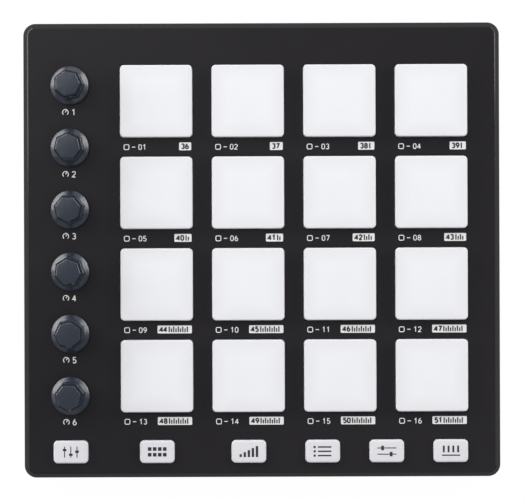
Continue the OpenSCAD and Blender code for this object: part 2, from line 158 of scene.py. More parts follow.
class Finish:
    """A material being made: its node tree, its main shader and one method that adds any node."""

    def __init__(self, name, colour, roughness, **constants):
        self.material = bpy.data.materials.new(name)
        self.material.use_nodes = True
        self.tree = self.material.node_tree
        self.shader = self.tree.nodes["Principled BSDF"]
        self.shader.inputs["Base Color"].default_value = colour
        self.shader.inputs["Roughness"].default_value = roughness
        for socket, value in constants.items():
            self.shader.inputs[socket_name(socket)].default_value = value

    def add(self, kind, settings=None, inputs=None, output=0):
        """One node of the given type, with its settings made first and then its sockets set or linked."""
        node = self.tree.nodes.new(kind)
        for key, value in (settings or {}).items():
            setattr(node, key, value)
        for key, value in (inputs or {}).items():
            self.feed(node.inputs[key], value)
        return Value(self, node.outputs[output])

    def feed(self, socket, value):
        """Link a socket to a shader value, or set it to a plain one."""
        if isinstance(value, Value):
            self.tree.links.new(value.socket, socket)
        else:
            socket.default_value = value

    def set(self, **inputs):
        """Feed the main shader's own sockets."""
        for name, value in inputs.items():
            self.feed(self.shader.inputs[socket_name(name)], value)

    def place(self):
        """Object coordinates, in metres."""
        return self.add("ShaderNodeTexCoord", output=3)

    def noise(self, size, detail=2.0, roughness=0.5):
        """Noise between 0 and 1 whose lumps are about the given size in metres."""
        settings = {"noise_dimensions": "3D"}
        inputs = {"Vector": self.place(), "Scale": 1.0 / size, "Detail": detail, "Roughness": roughness}
        return self.add("ShaderNodeTexNoise", settings, inputs)

    def tint(self, factor, low, high):
        """A colour that goes from low to high as the factor goes from 0 to 1."""
        return self.add("ShaderNodeMix", {"data_type": "RGBA"}, {0: factor, 6: low, 7: high}, output=2)

    def bump(self, height, depth, strength):
        """Turn a height between 0 and 1 into a surface relief of the given depth in metres."""
        inputs = {"Height": height, "Distance": depth, "Strength": strength}
        self.set(Normal=self.add("ShaderNodeBump", None, inputs))


def moulded_plastic(name, dark, light, roughness, grain, depth, strength=0.5, polish=None):
    """Moulded plastic: a fine spark-eroded grain, with colour and gloss that wander a little.

    A polish is a function that gives, for the finish, how much less rough each place is.
    """
    finish = Finish(name, light, roughness, specular_ior_level=SATIN_SHINE)
    cloud = finish.noise(CLOUD_SIZE, 3.0)
    fine = finish.noise(grain, 3.0, 0.6)
    finish.set(Base_Color=finish.tint(cloud * 0.7 + fine * 0.3, dark, light))
    rough = cloud * 0.08 + fine * 0.1 + (roughness - 0.09)
    finish.set(Roughness=rough - polish(finish) if polish else rough)
    finish.bump(fine, depth, strength)
    return finish.material


def eased(corners, radii, steps=5):
    """A profile of (offset, height) corners in which each inner corner gives way to an arc.

    The arc has the corner's radius and touches both sides: it starts radius / tan(half angle)
    before the corner, and its middle lies on the line that halves the angle.
    """
    corners = [np.array(c, float) for c in corners]
    out = [corners[0][None]]
    for before, corner, after, radius in zip(corners, corners[1:], corners[2:], radii):
        to_before = (before - corner) / np.linalg.norm(before - corner)
        to_after = (after - corner) / np.linalg.norm(after - corner)
        half = np.arccos(np.clip(to_before @ to_after, -1.0, 1.0)) / 2
        if radius == 0 or half > NEARLY_STRAIGHT:
            out.append(corner[None])
            continue
        reach = radius / math.tan(half)
        middle = corner + (to_before + to_after) / (2 * math.cos(half)) * radius / math.sin(half)
        start = corner + to_before * reach - middle
        end = corner + to_after * reach - middle
        whole = np.arccos(np.clip(start @ end / radius**2, -1.0, 1.0))
        t = np.linspace(0.0, 1.0, steps + 1)[:, None]
        arc = (np.sin((1 - t) * whole) * start + np.sin(t * whole) * end) / math.sin(whole)
        out.append(middle + arc)
    out.append(corners[-1][None])
    return np.vstack(out)


def round_rect_rows(half_w, half_d, radius, heights, centre=(0.0, 0.0), steps=CORNER_STEPS):
    """Rows of rounded rectangles: each is four quarter circles about points half - radius from the middle.

    half_w, half_d and radius have one value per row, so the outline may change from row to row.
    """
    half_w, half_d, radius, heights = np.broadcast_arrays(
        *[np.asarray(v, float) for v in (half_w, half_d, radius, heights)])
    quarter = np.linspace(0.0, math.pi / 2, steps + 1)
    angle = (quarter[None, :] + np.arange(4)[:, None] * math.pi / 2).ravel()
    side_x = np.repeat([1.0, -1.0, -1.0, 1.0], steps + 1)
    side_y = np.repeat([1.0, 1.0, -1.0, -1.0], steps + 1)
    x = side_x * (half_w - radius)[:, None] + radius[:, None] * np.cos(angle)
    y = side_y * (half_d - radius)[:, None] + radius[:, None] * np.sin(angle)
    z = np.repeat(heights[:, None], len(angle), axis=1)
    return np.stack([x + centre[0], y + centre[1], z], axis=-1)


def round_rect_sweep(half_w, half_d, corner, profile, centre=(0.0, 0.0)):
    """A profile of (offset, height) carried round a rounded rectangle; outward offsets are positive."""
    offset, height = np.asarray(profile, float).T
    radius = np.maximum(corner + offset, SMALLEST_RADIUS)
    return round_rect_rows(half_w + offset, half_d + offset, radius, height, centre)


def lathe(profile, centre=(0.0, 0.0), steps=ROUND_STEPS):
    """A profile of (radius, height) turned about a vertical axis: x = r cos t, y = r sin t."""
    radius, height = np.asarray(profile, float).T
    t = np.linspace(0.0, 2 * math.pi, steps, endpoint=False)
    x = radius[:, None] * np.cos(t) + centre[0]
    y = radius[:, None] * np.sin(t) + centre[1]
    return np.stack([x, y, np.repeat(height[:, None], steps, axis=1)], axis=-1)


class Shell:
    """Vertices and faces of one piece, gathered from grids of rows."""

    def __init__(self):
        self.points = []
        self.faces = []
        self.count = 0

    def grid(self, rows, cap_first=False, cap_last=False):
        """Join each row of a closed grid to the next; a cap closes an end with one flat face."""
        lines, columns = rows.shape[:2]
        here = self.count + np.arange(lines * columns).reshape(lines, columns)
        right = np.roll(here, -1, axis=1)
        quads = np.stack([here[:-1], right[:-1], right[1:], here[1:]], axis=-1).reshape(-1, 4)
        self.faces += quads.tolist()
        if cap_first:
            self.faces.append(here[0][::-1].tolist())
        if cap_last:
            self.faces.append(here[-1].tolist())
        self.points.append(rows.reshape(-1, 3))
        self.count += lines * columns

    def piece(self, name, body, material, replaced=(), flats=(), smooth_deg=SMOOTH_DEG):
        """Make the mesh object: weld it, close the listed flats, turn faces outwards and let it ride."""
        mesh = bpy.data.meshes.new(name)
        mesh.from_pydata(np.vstack(self.points), [], self.faces)
        shape = bmesh.new()
        shape.from_mesh(mesh)
        bmesh.ops.remove_doubles(shape, verts=shape.verts, dist=WELD_DISTANCE)
        for axis, level, normal in flats:
            close_flat(shape, axis, level, normal)
        bmesh.ops.recalc_face_normals(shape, faces=shape.faces)
        shape.to_mesh(mesh)
        shape.free()
        mesh.shade_smooth()
        mesh.set_sharp_from_angle(angle=math.radians(smooth_deg))
        mesh.materials.append(material)
        obj = bpy.data.objects.new(name, mesh)
        bpy.context.collection.objects.link(obj)
        weigh = obj.modifiers.new("even_shading", "WEIGHTED_NORMAL")
        weigh.keep_sharp = True
        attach(obj, body)
        if replaced:
            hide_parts(*replaced)
        return obj


def close_flat(shape, axis, level, normal):
    """Fill a flat wall and leave its holes: the open edges at one level bound the fill."""
    edges = [
        edge for edge in shape.edges
        if edge.is_boundary and all(abs(v.co[axis] - level) < LEVEL_TOLERANCE for v in edge.verts)
    ]
    bmesh.ops.triangle_fill(shape, use_beauty=True, use_dissolve=False, edges=edges, normal=normal)


def middle_of(name):
    """Middle of a node's box, in plan."""
    low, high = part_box(name)
    return ((low.x + high.x) / 2, (low.y + high.y) / 2)


def island_middles(name):
    """Middles, in plan, of the separate small solids in a node: points within a reach belong together."""
    mesh = nodes[name].data
    points = np.empty(len(mesh.vertices) * 3)
    mesh.vertices.foreach_get("co", points)
    points = points.reshape(-1, 3)[:, :2]
    left = points
    middles = []
    while len(left):
        near = np.linalg.norm(left - left[0], axis=1) < ISLAND_REACH
        middles.append((left[near].min(axis=0) + left[near].max(axis=0)) / 2)
        left = left[~near]
    return middles


base_black = moulded_plastic("base_black", srgb(25, 25, 27), srgb(30, 29, 31), 0.58, 0.45 * MM, 0.03 * MM)
half_w = case_width / 2
half_d = (case_high.y - case_low.y) / 2
base_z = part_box("bottom_case")[0].z
split_z = case_low.z
floor_z = base_z + FLOOR_THICK
screw_at = island_middles("case_screws")
foot_at = island_middles("rubber_feet")
foot_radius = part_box("rubber_feet")[1].x - max(x for x, _ in foot_at)
recess_radius = foot_radius + FOOT_RECESS_GAP
tongue_in = CASE_WALL + TONGUE_GAP + TONGUE_THICK

bottom = Shell()
bottom.grid(round_rect_sweep(half_w, half_d, CASE_CORNER, eased([
    (-BASE_CHAMFER - BASE_LIP, base_z),
    (-BASE_CHAMFER, base_z),
    (0.0, base_z + BASE_CHAMFER),
    (0.0, split_z - GROOVE_HEIGHT),
    (-GROOVE_DEPTH, split_z - GROOVE_HEIGHT),
    (-GROOVE_DEPTH, split_z),
    (-CASE_WALL - TONGUE_GAP, split_z),
    (-CASE_WALL - TONGUE_GAP, split_z + TONGUE_HEIGHT),
    (-tongue_in, split_z + TONGUE_HEIGHT),
    (-tongue_in, floor_z),
], [BASE_EDGE, BASE_EDGE, GROOVE_EDGE, 0, 0, 0, 0, 0])), cap_last=True)
for x, y in screw_at:
    bottom.grid(lathe(eased([
        (SCREW_WELL_RADIUS + RECESS_LIP, base_z),
        (SCREW_WELL_RADIUS, base_z),
        (SCREW_WELL_RADIUS, base_z + SCREW_WELL_DEPTH),
        (RECESS_POLE, base_z + SCREW_WELL_DEPTH),
    ], [SCREW_WELL_EDGE, 0]), (x, y)), cap_last=True)
for x, y in foot_at:
    bottom.grid(lathe(eased([
        (recess_radius + RECESS_LIP, base_z),
        (recess_radius, base_z),
        (recess_radius, base_z + FOOT_RECESS_DEPTH),
        (RECESS_POLE, base_z + FOOT_RECESS_DEPTH),
    ], [FOOT_RECESS_EDGE, 0]), (x, y)), cap_last=True)
bottom.piece("bottom_shell", "case", base_black, ["bottom_case"], [(2, base_z, (0, 0, -1))])

# Rubber feet
# Four turned discs of black rubber, pressed into round recesses in the underside.
# Each has a shallow dish in the face that it stands on.
FOOT_EDGE = 0.5 * MM
FOOT_POLE = 0.5 * MM
DISH_DEPTH = 0.2 * MM
DISH_EDGE = 0.3 * MM
DISH_INNER = 0.6
DISH_OUTER = 0.68
foot_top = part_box("rubber_feet")[1].z

rubber_finish = Finish("foot_rubber", srgb(26, 26, 27), 0.85)
rubber_speck = rubber_finish.noise(0.6 * MM, 4.0, 0.7)
rubber_finish.set(Base_Color=rubber_finish.tint(rubber_speck, srgb(20, 20, 21), srgb(34, 34, 35)))
rubber_finish.set(Roughness=rubber_speck * 0.15 + 0.75)
rubber_finish.bump(rubber_speck, 0.05 * MM, 0.6)

feet = Shell()
for x, y in foot_at:
    feet.grid(lathe(eased([
        (FOOT_POLE, DISH_DEPTH),
        (foot_radius * DISH_INNER, DISH_DEPTH),
        (foot_radius * DISH_OUTER, 0.0),
        (foot_radius, 0.0),
        (foot_radius, foot_top),
        (FOOT_POLE, foot_top),
    ], [DISH_EDGE, DISH_EDGE, FOOT_EDGE, 0]), (x, y)), cap_first=True, cap_last=True)
feet.piece("feet", "case", rubber_finish.material, ["rubber_feet"])

# Screws
# Six blackened case screws in the wells underneath and eight plated board screws inside.
# Each has a cross cut in its head.


def turned_metal(name, dark, light, roughness, grain=0.4 * MM):
    """Plated metal: bright, with fine cloudy streaks in its colour and gloss."""
    finish = Finish(name, light, roughness, metallic=1.0)
    cloud = finish.noise(grain, 4.0, 0.65)
    finish.set(Base_Color=finish.tint(cloud, dark, light))
    finish.set(Roughness=cloud * 0.2 + (roughness - 0.1))
    finish.bump(cloud, 0.01 * MM, 0.3)
    return finish.material


def dress(name, material):
    """Give a carried-over solid a better finish."""
    obj = nodes[name]
    obj.data.materials.clear()
    obj.data.materials.append(material)


dress("case_screws", turned_metal("screw_black", srgb(60, 60, 62), srgb(96, 96, 98), 0.4))
dress("board_screws", turned_metal("screw_zinc", srgb(150, 152, 155), srgb(186, 188, 192), 0.35))

# Main board
# Glass-fibre board with a green solder mask; the weave of the glass shows faintly through it.
WEAVE_SIZE = 0.5 * MM

board_finish = Finish("board_green", srgb(20, 69, 47), 0.35, coat_weight=0.3)
board_weave = board_finish.noise(WEAVE_SIZE, 1.0)
board_cloud = board_finish.noise(20 * MM, 2.0)
board_finish.set(Base_Color=board_finish.tint(
    board_weave * 0.5 + board_cloud * 0.5, srgb(14, 55, 36), srgb(28, 84, 58)))
board_finish.bump(board_weave, 0.02 * MM, 0.4)
dress("main_board", board_finish.material)
chip_black = moulded_plastic("chip_black", srgb(24, 24, 26), srgb(34, 34, 36), 0.55, 0.2 * MM, 0.01 * MM)
dress("controller_chip", chip_black)

# Pad frame, sensor film and lights
# A white moulded grid on an amber printed film, with one clear light under each pad,
# and the film's ivory connector on the board.
frame_white = moulded_plastic(
    "frame_white", srgb(222, 222, 219), srgb(236, 236, 233), 0.5, 0.3 * MM, 0.02 * MM)
film_finish = Finish("film_amber", srgb(138, 106, 47), 0.25)
film_cloud = film_finish.noise(3 * MM, 3.0)
film_finish.set(Base_Color=film_finish.tint(film_cloud, srgb(120, 90, 38), srgb(152, 118, 56)))
film_finish.set(Roughness=film_cloud * 0.15 + 0.2)
light_finish = Finish("light_clear", srgb(240, 240, 232), 0.15)
light_cloud = light_finish.noise(1.5 * MM, 2.0)
light_finish.set(Base_Color=light_finish.tint(light_cloud, srgb(236, 232, 206), srgb(246, 246, 240)))
dress("pad_frame", frame_white)
dress("sensor_film", film_finish.material)
dress("pad_lights", light_finish.material)
ivory = moulded_plastic(
    "ivory_plastic", srgb(205, 200, 186), srgb(220, 216, 203), 0.45, 0.3 * MM, 0.02 * MM)
dress("film_connector", ivory)

# Encoders and switches
# Plated encoder bodies with steel shafts, and black switch bodies with ivory plungers.
KNOBS = range(1, 7)
BUTTONS = range(1, 7)

plated = turned_metal("encoder_plated", srgb(112, 114, 117), srgb(150, 152, 155), 0.38)
steel = turned_metal("shaft_steel", srgb(158, 160, 163), srgb(190, 192, 195), 0.3)
switch_black = moulded_plastic("switch_black", srgb(40, 40, 40), srgb(52, 52, 52), 0.5, 0.2 * MM, 0.01 * MM)
dress("switch_bodies", switch_black)
for number in KNOBS:
    dress(f"encoder_{number}", plated)
    dress(f"encoder_shaft_{number}", steel)
for number in BUTTONS:
    dress(f"switch_plunger_{number}", ivory)

# Data socket
# A drawn steel shell on the board behind the hole in the rear wall, with a black tongue or blade
# that carries a row of gilded contacts on each side.
SOCKET_WALL = 0.3 * MM
SOCKET_BACK = 1.2 * MM
SOCKET_EDGE = 0.12 * MM
BLADE_WIDTH = 6.7 * MM
BLADE_HALF_THICK = 0.35 * MM
BLADE_SETBACK = 0.8 * MM
BLADE_CORNER = 0.12 * MM
BLADE_BEVEL = 0.15 * MM
CONTACT_COUNT = 12
CONTACT_PITCH = 0.5 * MM
CONTACT_WIDTH = 0.28 * MM
CONTACT_LENGTH = 3.4 * MM
CONTACT_PROUD = 0.02 * MM
CONTACT_SETBACK = 0.5 * MM
NEARLY_ROUND = 0.9

socket_low, socket_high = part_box("usb_socket")
socket_x = (socket_low.x + socket_high.x) / 2
socket_z = (socket_low.z + socket_high.z) / 2
socket_half_w = (socket_high.x - socket_low.x) / 2
socket_half_h = (socket_high.z - socket_low.z) / 2
socket_depth = socket_high.y - socket_low.y
mouth_y = socket_high.y


def stood_up(rows):
    """Turn rows made in plan so that their height runs forwards from the socket's mouth, into the case."""
    x, z, depth = rows[..., 0], rows[..., 1], rows[..., 2]
    return np.stack([socket_x + x, mouth_y - depth, socket_z + z], axis=-1)


socket = Shell()
socket.grid(stood_up(round_rect_sweep(socket_half_w, socket_half_h, socket_half_h, eased([
    (-SOCKET_WALL, socket_depth - SOCKET_BACK),
    (-SOCKET_WALL, 0.0),
    (0.0, 0.0),
    (0.0, socket_depth),
], [SOCKET_EDGE, SOCKET_EDGE]))), True, True)
socket_steel = turned_metal("socket_steel", srgb(176, 178, 181), srgb(206, 208, 211), 0.28)
socket.piece("socket_shell", "case", socket_steel, ["usb_socket"])
blade = Shell()
blade.grid(stood_up(round_rect_sweep(BLADE_WIDTH / 2, BLADE_HALF_THICK, BLADE_CORNER, [
    (-BLADE_CORNER, BLADE_SETBACK),
    (0.0, BLADE_SETBACK + BLADE_BEVEL),
    (0.0, socket_depth - SOCKET_BACK),
])), True, True)
blade.piece("socket_tongue", "case", switch_black)
contacts = Shell()
contact_start = BLADE_SETBACK + CONTACT_SETBACK
contact_x = (np.arange(CONTACT_COUNT) - (CONTACT_COUNT - 1) / 2) * CONTACT_PITCH
for x in contact_x:
    for side in (-1, 1):
        rows = round_rect_rows(
            CONTACT_WIDTH / 2, CONTACT_PROUD, CONTACT_PROUD * NEARLY_ROUND,
            [contact_start, contact_start + CONTACT_LENGTH], (x, side * BLADE_HALF_THICK))
        contacts.grid(stood_up(rows), True, True)
gilt = turned_metal("contact_gilt", srgb(190, 148, 62), srgb(222, 184, 96), 0.3)
contacts.piece("socket_contacts", "case", gilt)

# Top case
# The upper half of the shell, one moulding: walls, a chamfer round the face that ends in a crisp
# polished crease, and a hole with a softly broken edge for every pad, button and knob.
# The rear wall has the plug's hole.
FACE_CHAMFER = 2.1 * MM
FACE_EDGE = 0.15 * MM
CHAMFER_EDGE = 6 * FACE_EDGE
CREASE_WIDTH = 0.5 * MM
CREASE_DROP = 0.345 * MM
CREASE_POLISH = 0.25
WALL_EDGE = 0.25 * MM
HOLE_EDGE = 0.2 * MM
HOLE_EDGE_STEPS = 3
FACE_THICK = 2.0 * MM
CEILING_LIP = 0.4 * MM
PAD_GAP = 0.3 * MM
PAD_CORNER = 1.7 * MM
PAD_FLANGE = 1.6 * MM
BUTTON_GAP = 0.25 * MM
BUTTON_CORNER = 1.8 * MM
BUTTON_FLANGE = 1.2 * MM
BUSHING_HOLE = 3.8 * MM
PLUG_HALF_W = 6.4 * MM
PLUG_HALF_H = 3.5 * MM
PLUG_CORNER = 1.0 * MM
PADS = range(1, 17)

face_z = case_high.z
panel_z = face_z - FACE_THICK
pad_low, pad_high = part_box("pad_1")
pad_half = (pad_high.x - pad_low.x) / 2 - PAD_FLANGE
button_low, button_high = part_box("button_1")
button_half_w = (button_high.x - button_low.x) / 2 - BUTTON_FLANGE
button_half_d = (button_high.y - button_low.y) / 2 - BUTTON_FLANGE
chamfer_in = CREASE_DROP - FACE_CHAMFER


def crease_polish(finish):
    """Where hands have polished the crease at the inner end of the chamfer.

    The distance inside the outline is the corner radius minus the length of (u, v), where u and v are
    how far the place lies past the middles of the corner arcs in x and in y, or 0. The polish is greatest
    in the middle of the crease, and ends one crease's width to each side of it.
    """
    place = finish.place()
    x = finish.add("ShaderNodeSeparateXYZ", None, {0: place}, output=0)
    y = finish.add("ShaderNodeSeparateXYZ", None, {0: place}, output=1)
    u = (abs(x) - (half_w - CASE_CORNER)).at_least(0.0)
    v = (abs(y) - (half_d - CASE_CORNER)).at_least(0.0)
    inside = CASE_CORNER - (u * u + v * v).root()
    off_crease = abs(inside - (FACE_CHAMFER - CREASE_DROP + CREASE_WIDTH / 2)) * (1 / CREASE_WIDTH)
    return (1 - off_crease).at_least(0.0) * CREASE_POLISH


case_black = moulded_plastic(
    "case_black", srgb(32, 30, 33), srgb(36, 34, 37), 0.32, 0.35 * MM, 0.02 * MM, 0.15, crease_polish)
hole_profile = eased([(HOLE_EDGE, face_z), (0.0, face_z), (0.0, panel_z)], [HOLE_EDGE], HOLE_EDGE_STEPS)
top = Shell()
top.grid(round_rect_sweep(half_w, half_d, CASE_CORNER, eased([
    (-CASE_WALL, panel_z),
    (-CASE_WALL, panel_z - CEILING_LIP),
    (-CASE_WALL, split_z),
    (0.0, split_z),
    (0.0, face_z - FACE_CHAMFER),
    (chamfer_in, face_z - CREASE_DROP),
    (chamfer_in - CREASE_WIDTH, face_z),
    (chamfer_in - CREASE_WIDTH - FACE_EDGE, face_z),
], [0, 0, WALL_EDGE, CHAMFER_EDGE, FACE_EDGE, FACE_EDGE])))
for number in PADS:
    top.grid(round_rect_sweep(
        pad_half + PAD_GAP, pad_half + PAD_GAP, PAD_CORNER + PAD_GAP,
        hole_profile, middle_of(f"pad_{number}")))
for number in BUTTONS:
    top.grid(round_rect_sweep(
        button_half_w + BUTTON_GAP, button_half_d + BUTTON_GAP, BUTTON_CORNER + BUTTON_GAP,
        hole_profile, middle_of(f"button_{number}")))
for number in KNOBS:
    top.grid(lathe(hole_profile + np.array([BUSHING_HOLE, 0.0]), middle_of(f"encoder_{number}")))


def open_rear_wall(shape, y):
    """Take out the one wide flat of the rear wall at a depth, to be filled again round the plug's hole.

    It is the only face there with a larger area than half the case's width by a millimetre.
    """
    wide = [
        face for face in shape.faces
        if all(abs(v.co.y - y) < LEVEL_TOLERANCE for v in face.verts) and face.calc_area() > half_w * MM
    ]
    bmesh.ops.delete(shape, geom=wide, context="FACES_ONLY")


plug_rows = round_rect_sweep(PLUG_HALF_W, PLUG_HALF_H, PLUG_CORNER, eased(
    [(HOLE_EDGE, 0.0), (0.0, 0.0), (0.0, CASE_WALL)], [HOLE_EDGE], HOLE_EDGE_STEPS))
plug_rows = np.stack([
    socket_x + plug_rows[..., 0], half_d - plug_rows[..., 2], socket_z + plug_rows[..., 1]], axis=-1)
wall_mesh = bpy.data.meshes.new("wall_draft")
wall_mesh.from_pydata(np.vstack(top.points), [], top.faces)
wall_shape = bmesh.new()
wall_shape.from_mesh(wall_mesh)
open_rear_wall(wall_shape, half_d)
open_rear_wall(wall_shape, half_d - CASE_WALL)
wall_shape.to_mesh(wall_mesh)
wall_shape.free()
top_open = Shell()
top_open.points = [np.array([v.co for v in wall_mesh.vertices])]
top_open.faces = [list(p.vertices) for p in wall_mesh.polygons]
top_open.count = len(wall_mesh.vertices)
bpy.data.meshes.remove(wall_mesh)
top_open.grid(plug_rows)
top_open.piece("top_shell", "case", case_black, ["top_case"], [
    (2, face_z, (0, 0, 1)),
    (2, panel_z, (0, 0, -1)),
    (1, half_d, (0, 1, 0)),
    (1, half_d - CASE_WALL, (0, -1, 0)),
])

# Printing on the face
# Pad-printed white ink: a small picture and a number below every pad and knob, and a white tag
# at the right below every pad, with a number of its own and a scale of ticks in dark ink.
INK_THICK = 0.02 * MM
INK_SINK = 0.05 * MM
INK_LIFT = 0.004 * MM
MARK_CORNER = 0.08 * MM
PAD_LABEL_DROP = 19.15 * MM
PAD_LABEL_IN = 1.4 * MM
PAD_LABEL_HEIGHT = 2.4 * MM
KNOB_LABEL_DROP = 11.15 * MM
KNOB_LABEL_HEIGHT = 2.7 * MM
LABEL_GAP = 1.1 * MM
LABEL_STROKE = 0.34 * MM
DASH_LENGTH = 1.4 * MM
SQUARE_CORNER = 0.5 * MM
DIAL_START_DEG = -50
DIAL_END_DEG = 230
DIAL_STEPS = 40
POINTER_DEG = 60
FIGURE_HALF_HEIGHT = 0.43
FIGURE_HALF_WIDTH = 0.24
FIGURE_STROKE = 0.14
TAG_FIGURE_STROKE = 0.27
FIGURE_STEP = 0.76
TAG_DROP = 18.9 * MM
TAG_IN = 0.45 * MM
TAG_HEIGHT = 3.3 * MM
TAG_CORNER = 0.4 * MM
TAG_WIDTHS_MM = [5.1, 5.4, 6.8, 6.8, 7.2, 7.2, 9.2, 9.2] + [14.4] * 8
TAG_MARGIN = 0.8 * MM
TAG_NUMBER_HEIGHT = 2.2 * MM
TAG_FIRST_NUMBER = 36
TICK_PITCH = 0.95 * MM
TICK_START = 0.8
TICK_WIDTH = 0.55 * MM
TICK_LENGTHS = (2.3 * MM, 1.6 * MM)


def ink(name, dark, light, roughness=0.55):
    """Printing ink: nearly even, with a faint mottle from the pad that laid it."""
    finish = Finish(name, light, roughness)
    mottle = finish.noise(0.5 * MM, 2.0)
    finish.set(Base_Color=finish.tint(mottle, dark, light))
    finish.set(Roughness=mottle * 0.2 + (roughness - 0.1))
    return finish.material


def mark(shell, middle, size, level, corner=MARK_CORNER):
    """A flat printed bar: a rounded rectangle from just inside the surface to the top of the ink."""
    half = np.asarray(size) / 2
    radius = min(corner, half[0] * NEARLY_ROUND, half[1] * NEARLY_ROUND)
    heights = [level - INK_SINK, level + INK_THICK]
    shell.grid(round_rect_rows(half[0], half[1], radius, heights, middle, steps=4), True, True)


def stroke(shell, path, width, level):
    """A printed line: an upright rectangle of ink carried along a flat path, with mitred corners.

    The step to its side at a point is (a + b) / (1 + a . b) times half the width, where a and b are
    the unit normals of the two pieces of path that meet there. A path that ends at its start is a ring.
    """
    path = np.asarray(path, float)
    run = np.diff(path, axis=0)
    run = run / np.linalg.norm(run, axis=1)[:, None]
    normal = np.stack([-run[:, 1], run[:, 0]], axis=-1)
    ring = np.allclose(path[0], path[-1])
    before = np.vstack([normal[-1:] if ring else normal[:1], normal])
    after = np.vstack([normal, normal[:1] if ring else normal[-1:]])
    side = (before + after) / (1 + (before * after).sum(axis=1))[:, None] * width / 2
    corners = np.stack([path + side, path + side, path - side, path - side], axis=1)
    heights = np.array([level - INK_SINK, level + INK_THICK, level + INK_THICK, level - INK_SINK])
    heights = np.broadcast_to(heights, corners.shape[:2])
    rows = np.concatenate([corners, heights[..., None]], axis=-1)
    shell.grid(rows, not ring, not ring)


def arc(middle, radii, start, end, steps=20):
    """Points of an ellipse's arc from one angle to another, in degrees: middle + radii (cos t, sin t)."""
    t = np.radians(np.linspace(start, end, steps))
    return np.asarray(middle) + np.asarray(radii) * np.stack([np.cos(t), np.sin(t)], axis=-1)


def figure_paths(figure):
    """Centre lines of a plain figure whose height is 1, about its own middle: one or two strokes each."""
    h, w = FIGURE_HALF_HEIGHT, FIGURE_HALF_WIDTH
    if figure == "0":
        upper = arc((0, h - w), (w, w), 0, 180)
        lower = arc((0, w - h), (w, w), 180, 360)
        return [np.vstack([upper, lower, [(w, h - w)]])]
    if figure == "1":
        return [[(-0.19, 0.23), (0.04, h), (0.04, -h)]]
    if figure == "2":
        return [np.vstack([arc((0, h - w), (w, w), 165, -32), [(-w, -h)]]), [(-w - 0.07, -h), (w, -h)]]
    if figure == "3":
        upper = arc((-0.02, h - 0.21), (0.22, 0.21), 150, -90)
        lower = arc((-0.02, 0.22 - h), (w, 0.22), 90, -150)
        return [upper, lower]
    if figure == "4":
        return [[(0.1, -h), (0.1, h)], [(0.08, h - 0.05), (-0.28, -0.18), (0.28, -0.18)]]
    if figure == "5":
        return [[(0.2, h), (-0.17, h), (-0.2, -0.04)], arc((-0.01, 0.26 - h), (0.25, 0.26), 125, -150)]
    if figure == "6":
        return [arc((0, 0.25 - h), (w, 0.25), 180, 540), arc((0.2, 0.25 - h), (w + 0.2, 0.61), 102, 180)]
    if figure == "7":
        return [[(-w, h), (w, h), (-0.08, -h)]]
    if figure == "8":
        return [arc((0, h - 0.2), (0.2, 0.2), -90, 270), arc((0, 0.23 - h), (w, 0.23), 90, 450)]
    return [-np.asarray(path) for path in figure_paths("6")]


def print_number(shell, figures, height, left, middle_y, level, width=FIGURE_STROKE):
    """Plain figures drawn with strokes, from a left edge on; gives back the x at which they end.

    Each stroke of a number lies a hair above the one before it, so that no two tops share a plane.
    """
    for place, figure in enumerate(figures):
        middle = np.array([left + (place + 0.5) * FIGURE_STEP * height, middle_y])
        for layer, path in enumerate(figure_paths(figure)):
            lifted = level + (2 * place + layer) * INK_LIFT
            stroke(shell, middle + np.asarray(path) * height, width * height, lifted)
    return left + len(figures) * FIGURE_STEP * height


print_white = ink("print_white", srgb(228, 228, 229), srgb(238, 238, 239))
print_dark = ink("print_dark", srgb(28, 28, 31), srgb(38, 38, 41))
white = Shell()
dark = Shell()
for number in PADS:
    x, pad_y = middle_of(f"pad_{number}")
    y = pad_y - PAD_LABEL_DROP
    half = PAD_LABEL_HEIGHT / 2
    inner = half - LABEL_STROKE / 2
    left = x - pad_half + PAD_LABEL_IN
    square = round_rect_rows(inner, inner, [SQUARE_CORNER], [0.0], (left + half, y), steps=5)[0, :, :2]
    stroke(white, np.vstack([square, square[:1]]), LABEL_STROKE, face_z)
    dash_x = left + 2 * half + LABEL_GAP
    stroke(white, [(dash_x, y), (dash_x + DASH_LENGTH, y)], LABEL_STROKE, face_z)
    print_number(white, f"{number:02d}", PAD_LABEL_HEIGHT, dash_x + DASH_LENGTH + LABEL_GAP, y, face_z)
    wide = TAG_WIDTHS_MM[number - 1] * MM
    tag_left = x + pad_half - TAG_IN - wide
    tag_y = pad_y - TAG_DROP
    mark(white, (tag_left + wide / 2, tag_y), (wide, TAG_HEIGHT), face_z, TAG_CORNER)
    tag_z = face_z + INK_THICK
    end = print_number(
        dark, str(TAG_FIRST_NUMBER + number - 1), TAG_NUMBER_HEIGHT, tag_left + TAG_MARGIN, tag_y, tag_z,
        TAG_FIGURE_STROKE)
    ticks = int((tag_left + wide - TAG_MARGIN - end) / TICK_PITCH)
    for tick in range(ticks):
        length = TICK_LENGTHS[tick % 2]
        tick_x = end + (tick + TICK_START) * TICK_PITCH
        mark(dark, (tick_x, tag_y - (TICK_LENGTHS[0] - length) / 2), (TICK_WIDTH, length), tag_z)
for number in KNOBS:
    x, y = middle_of(f"encoder_{number}")
    y -= KNOB_LABEL_DROP
    half = KNOB_LABEL_HEIGHT / 2
    dial = (x - half - LABEL_GAP / 2, y)
    dial_radii = [half - LABEL_STROKE / 2] * 2
    stroke(white, arc(dial, dial_radii, DIAL_START_DEG, DIAL_END_DEG, DIAL_STEPS), LABEL_STROKE, face_z)
    pointer = [dial, arc(dial, dial_radii, POINTER_DEG, POINTER_DEG, 1)[0]]
    stroke(white, pointer, LABEL_STROKE, face_z + INK_LIFT)
    print_number(white, str(number), KNOB_LABEL_HEIGHT, x + LABEL_GAP / 2, y, face_z)
white.piece("face_print", "case", print_white)
dark.piece("tag_print", "case", print_dark)

